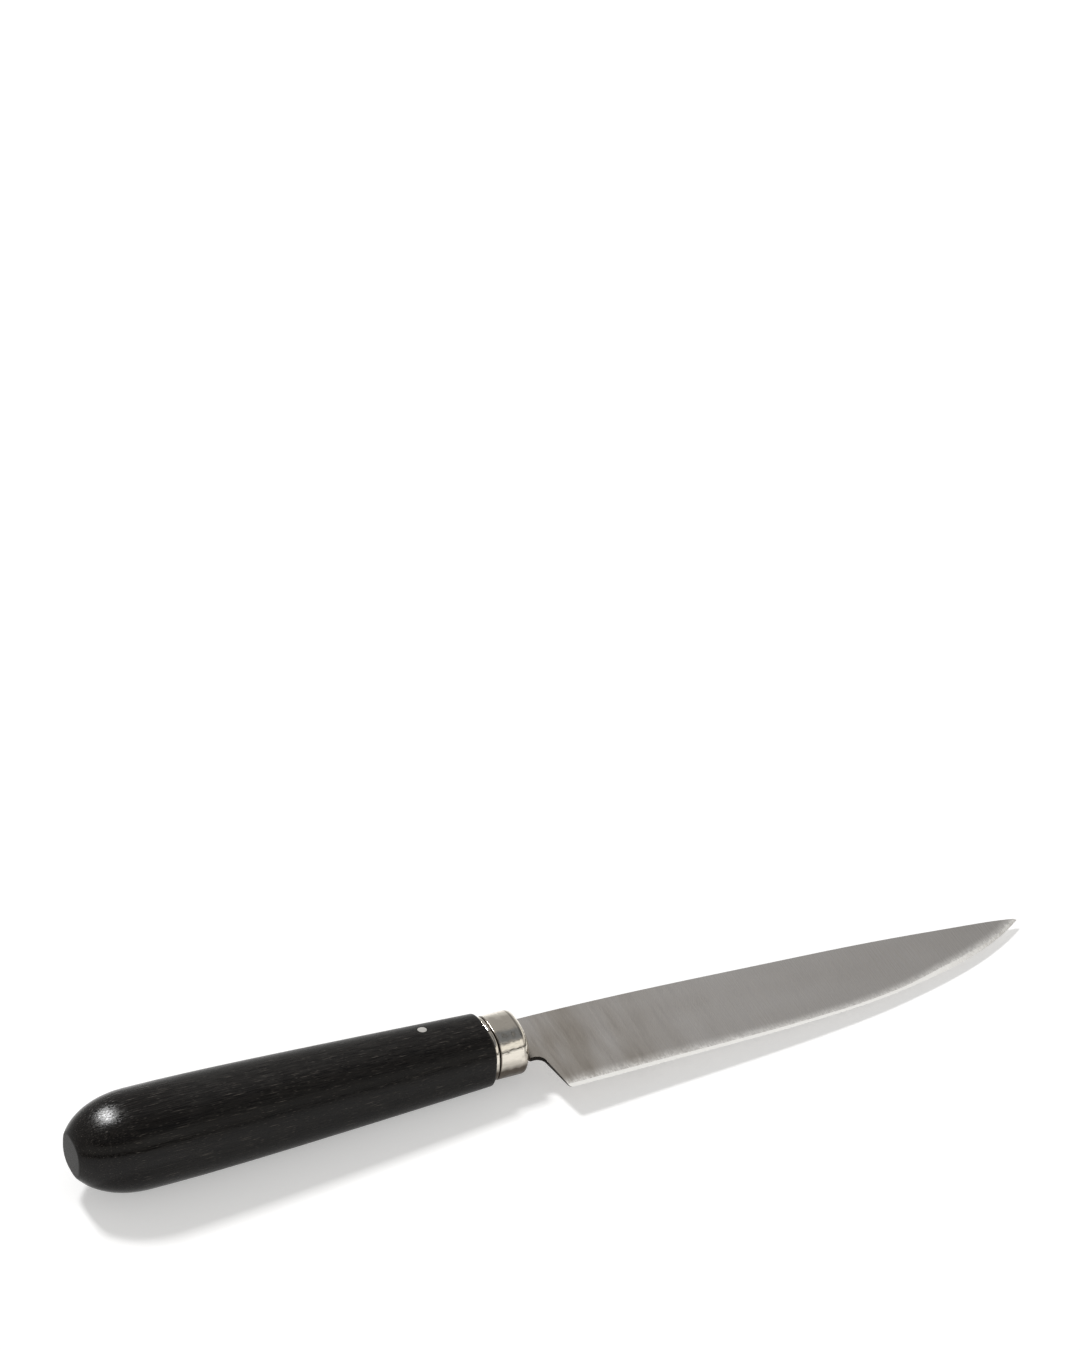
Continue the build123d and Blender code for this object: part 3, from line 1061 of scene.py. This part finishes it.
def nickel_material():
    """Warm polished nickel: fine marks, a faintly dented skin, a painted dark reflection on its lower side
    and painted shade in its groove and crease.
    """
    finish, ferrule = settings().finish, settings().ferrule
    material, tree, shader, place = new_material("Polished nickel")
    lines = pattern(tree, "Fine lines", place, (0.8, 9.0, 9.0), detail=3.0, low=0.4, high=0.75)
    dents = pattern(tree, "Clouding", place, (0.5, 0.3, 0.3), (5, 2, 8), detail=1.0)
    sides = split(tree, place)
    lowered = total(tree, sides["Z"], times(tree, dents, 0.5))
    # Painted shade in the groove between the ring and the collar
    groove = collar_line(tree, sides["X"], -ferrule.length, GROOVE_REACH)
    # Painted dark reflection: a line along the crease by the front rim, only on the collar's upper side
    crease = collar_line(tree, sides["X"], -ferrule.front_round, CREASE_REACH, 0.5)
    crease = times(tree, crease, spread(tree, lowered, *CREASE_FADE))
    # Painted dark reflection of the shaded table on the collar's lower side, joined with the painted lines
    dark = more(tree, spread(tree, lowered, *PAINTED_SHADE_HEIGHTS), groove, crease)
    colour = mix(tree, times(tree, lines, 0.2), finish.nickel, NICKEL_SCRATCH)
    rough = spread(tree, lines, 0, 1, finish.nickel_roughness, finish.nickel_roughness + 0.12)
    feed(tree, shader, {
        "Base Color": mix(tree, dark, colour, finish.nickel_painted_shade), "Metallic": 1.0,
        "Roughness": total(tree, rough, times(tree, dark, 0.16)),
        "Normal": bump(tree, total(tree, times(tree, lines, 0.06), dents), strength=0.6, depth=0.14),
    })
    return material


def pin_material():
    """The pin's filed end: bright metal with short file marks."""
    finish = settings().finish
    material, tree, shader, place = new_material("Pin metal")
    marks = pattern(tree, "Fine lines", place, (1.0, 14.0, 14.0), detail=3.0, low=0.35, high=0.75)
    feed(tree, shader, {
        "Base Color": mix(tree, times(tree, marks, 0.3), finish.pin_metal, PIN_SCRATCH), "Metallic": 1.0,
        "Roughness": spread(tree, marks, 0, 1, finish.pin_roughness, finish.pin_roughness + 0.15),
        "Normal": bump(tree, marks, strength=0.3, depth=0.01),
    })
    return material


def cement_material():
    """Dark grainy filling round the neck and the tang."""
    material, tree, shader, place = new_material("Cement")
    grains = pattern(tree, "Flecks", place, (6.0, 6.0, 6.0), size=0.6, share=0.6)
    feed(tree, shader, {
        "Base Color": mix(tree, grains, settings().finish.cement, CEMENT_GRAIN),
        "Roughness": spread(tree, grains, 0, 1, 0.75, 0.9),
        "Normal": bump(tree, grains, strength=0.5, depth=0.05),
    })
    return material


def dress_node(name, material):
    """Gives a node of the frame its finished material."""
    node = frame["nodes"][name]
    node.data.materials.clear()
    node.data.materials.append(material)


class BuildHandle(bpy.types.Operator):
    """Turns the wood of the handle"""

    bl_idname = "knife.build_handle"
    bl_label = "Handle"

    def execute(self, context):
        new_piece("turned_handle", handle_bmesh(), wood_material(), "handle")
        return {"FINISHED"}


class BuildFerrule(bpy.types.Operator):
    """Makes the collar and the split ring behind it"""

    bl_idname = "knife.build_ferrule"
    bl_label = "Ferrule and ring"

    def execute(self, context):
        nickel = nickel_material()
        new_piece("polished_ferrule", ferrule_bmesh(), nickel, "ferrule")
        new_piece("split_ring", ring_bmesh(), nickel, "ferrule_ring")
        return {"FINISHED"}


class BuildBlade(bpy.types.Operator):
    """Grinds the blade with its neck and tang"""

    bl_idname = "knife.build_blade"
    bl_label = "Blade"

    def execute(self, context):
        new_piece("ground_blade", blade_bmesh(), steel_material(), "blade")
        return {"FINISHED"}


class FinishInnerPieces(bpy.types.Operator):
    """Gives the pin, the neck's seal and the tang's bedding their finishes"""

    bl_idname = "knife.finish_inner_pieces"
    bl_label = "Pin, seal and bedding"

    def execute(self, context):
        dress_node("handle_pin", pin_material())
        cement = cement_material()
        dress_node("neck_seal", cement)
        dress_node("tang_bedding", cement)
        return {"FINISHED"}


def direction(azimuth, elevation):
    """Unit direction, its azimuth measured from straight behind the knife towards the point."""
    return Vector((sin(azimuth) * cos(elevation), cos(azimuth) * cos(elevation), sin(elevation)))


def add_lamp(name):
    """A square soft lamp aimed at the knife, with the studio's settings of that name."""
    azimuth, elevation, distance, side, watts = (
        getattr(settings().studio, f"{name.lower()}_{value}")
        for value in ("azimuth", "elevation", "distance", "size", "watts")
    )
    data = bpy.data.lights.new(name, "AREA")
    data.shape = "SQUARE"
    data.size = side
    data.energy = watts
    lamp = bpy.data.objects.new(name, data)
    lamp.location = direction(azimuth, elevation) * distance
    lamp.rotation_euler = (-lamp.location).to_track_quat("-Z", "Y").to_euler()
    bpy.context.scene.collection.objects.link(lamp)


def add_camera():
    """The camera at the photograph's viewing angle, placed so that the ferrule falls where it does there."""
    studio = settings().studio
    data = bpy.data.cameras.new("Camera")
    data.sensor_width = studio.sensor / MILLIMETRE
    data.lens = data.sensor_width * studio.focal_pixels / studio.frame_height
    data.clip_start = studio.sensor
    data.clip_end = studio.floor_size * 2
    forward = direction(studio.view_azimuth, -studio.view_elevation)
    right = Vector((cos(studio.view_azimuth), -sin(studio.view_azimuth), 0))
    down = forward.cross(right)
    across = (studio.ferrule_across - studio.frame_width / 2) / studio.focal_pixels
    low = (studio.ferrule_down - studio.frame_height / 2) / studio.focal_pixels
    ray = forward + right * across + down * low
    camera = bpy.data.objects.new("Camera", data)
    camera.location = lie_of_the_knife().translation - ray * studio.view_distance
    camera.rotation_euler = Matrix((right, -down, -forward)).transposed().to_euler()
    bpy.context.scene.collection.objects.link(camera)
    bpy.context.scene.camera = camera


def height_ramp(tree, height, stops):
    """Brightness by height over the horizon, through stops of height and colour."""
    ramp = add(tree, "ShaderNodeValToRGB", {"Fac": height})
    elements = ramp.color_ramp.elements
    while len(elements) < len(stops):
        elements.new(0.5)
    for element, (place, rgb) in zip(elements, stops):
        element.position = place
        element.color = (*rgb, 1.0)
    return ramp.outputs["Color"]


def add_world():
    """A soft studio sky: pale walls and a greyer ceiling, with a cream screen over the knife's front side."""
    studio = settings().studio
    world = bpy.data.worlds.new("Studio")
    bpy.context.scene.world = world
    world.use_nodes = True
    tree = world.node_tree
    tree.nodes.clear()
    where = add(tree, "ShaderNodeTexCoord").outputs["Generated"]
    height = split(tree, where)["Z"]
    wall = Vector((1, 1, 0.985)) * studio.sky_low
    ceiling = Vector((1, 0.985, 0.965)) * studio.sky_high
    cream = Vector((1, 0.975, 0.92)) * studio.sky_screen
    grey = Vector((0.55, 0.58, 0.62)) * studio.sky_high
    walls = height_ramp(tree, height, ((0.1, wall), (0.55, ceiling)))
    front = height_ramp(tree, height, (
        (0.0, cream), (0.04, SCREEN_DARK), (0.2, SCREEN_DARK), (0.27, cream), (0.66, cream),
        (0.7, SCREEN_DARK), (0.77, SCREEN_DARK), (0.8, grey), (0.92, grey), (0.94, SCREEN_DARK),
        (0.97, ceiling),
    ))
    inputs = {0: where, 1: direction(studio.screen_azimuth, 0)}
    facing = add(tree, "ShaderNodeVectorMath", inputs, operation="DOT_PRODUCT").outputs["Value"]
    colour = mix(tree, spread(tree, facing, *SCREEN_EDGE), walls, front)
    sky = add(tree, "ShaderNodeBackground", {"Color": colour, "Strength": 1.0})
    add(tree, "ShaderNodeOutputWorld", {"Surface": sky.outputs["Background"]})


def table_material():
    """Plain pale table top."""
    studio = settings().studio
    material = bpy.data.materials.new("Table")
    material.use_nodes = True
    tree = material.node_tree
    tree.nodes.clear()
    grey = studio.floor_grey
    inputs = {"Base Color": (grey, grey, grey, 1.0), "Roughness": 0.9, "Specular IOR Level": 0.0}
    shader = add(tree, "ShaderNodeBsdfPrincipled", inputs)
    path = add(tree, "ShaderNodeLightPath").outputs
    seen = more(tree, path["Is Camera Ray"], path["Is Glossy Ray"], path["Is Transmission Ray"])
    glow = times(tree, seen, studio.floor_glow)
    white = add(tree, "ShaderNodeEmission", {"Color": (1.0, 1.0, 1.0, 1.0), "Strength": glow})
    both = add(tree, "ShaderNodeAddShader", {0: shader.outputs["BSDF"], 1: white.outputs["Emission"]})
    add(tree, "ShaderNodeOutputMaterial", {"Surface": both.outputs["Shader"]})
    return material


class BuildStage(bpy.types.Operator):
    """Lays the table and sets up the lamps, the sky and the camera"""

    bl_idname = "knife.build_stage"
    bl_label = "Stage"

    def execute(self, context):
        bm = bmesh.new()
        bmesh.ops.create_grid(bm, x_segments=1, y_segments=1, size=settings().studio.floor_size / 2)
        table = mesh_object("table_top", bm)
        table.data.materials.append(table_material())
        add_lamp("Key")
        add_lamp("Front")
        add_world()
        add_camera()
        return {"FINISHED"}


class KnifePanel(bpy.types.Panel):
    """Lists the knife's pieces in the sidebar"""

    bl_idname = "KNIFE_PT_pieces"
    bl_label = "Paring knife"
    bl_space_type = "VIEW_3D"
    bl_region_type = "UI"
    bl_category = "Knife"

    def draw(self, context):
        for operator in OPERATORS:
            self.layout.operator(operator.bl_idname)


OPERATORS = (BuildHandle, BuildFerrule, BuildBlade, FinishInnerPieces, BuildStage)
GROUPS = (
    KnifeHandleSizes, KnifeFerruleSizes, KnifeBladeSizes, KnifeMeshCounts, KnifeFinish, KnifeStudio,
    KnifeSettings,
)


def register():
    for kind in (*GROUPS, *OPERATORS, KnifePanel):
        bpy.utils.register_class(kind)
    bpy.types.Scene.knife = section("Knife", KnifeSettings, "Sizes, finishes and studio of the knife")


def unregister():
    del bpy.types.Scene.knife
    for kind in reversed((*GROUPS, *OPERATORS, KnifePanel)):
        bpy.utils.unregister_class(kind)


def main():
    register()
    bpy.context.scene.view_settings.view_transform = "Standard"
    bpy.ops.knife.build_handle()
    bpy.ops.knife.build_ferrule()
    bpy.ops.knife.build_blade()
    bpy.ops.knife.finish_inner_pieces()
    bpy.ops.knife.build_stage()


if __name__ == "__main__":
    main()
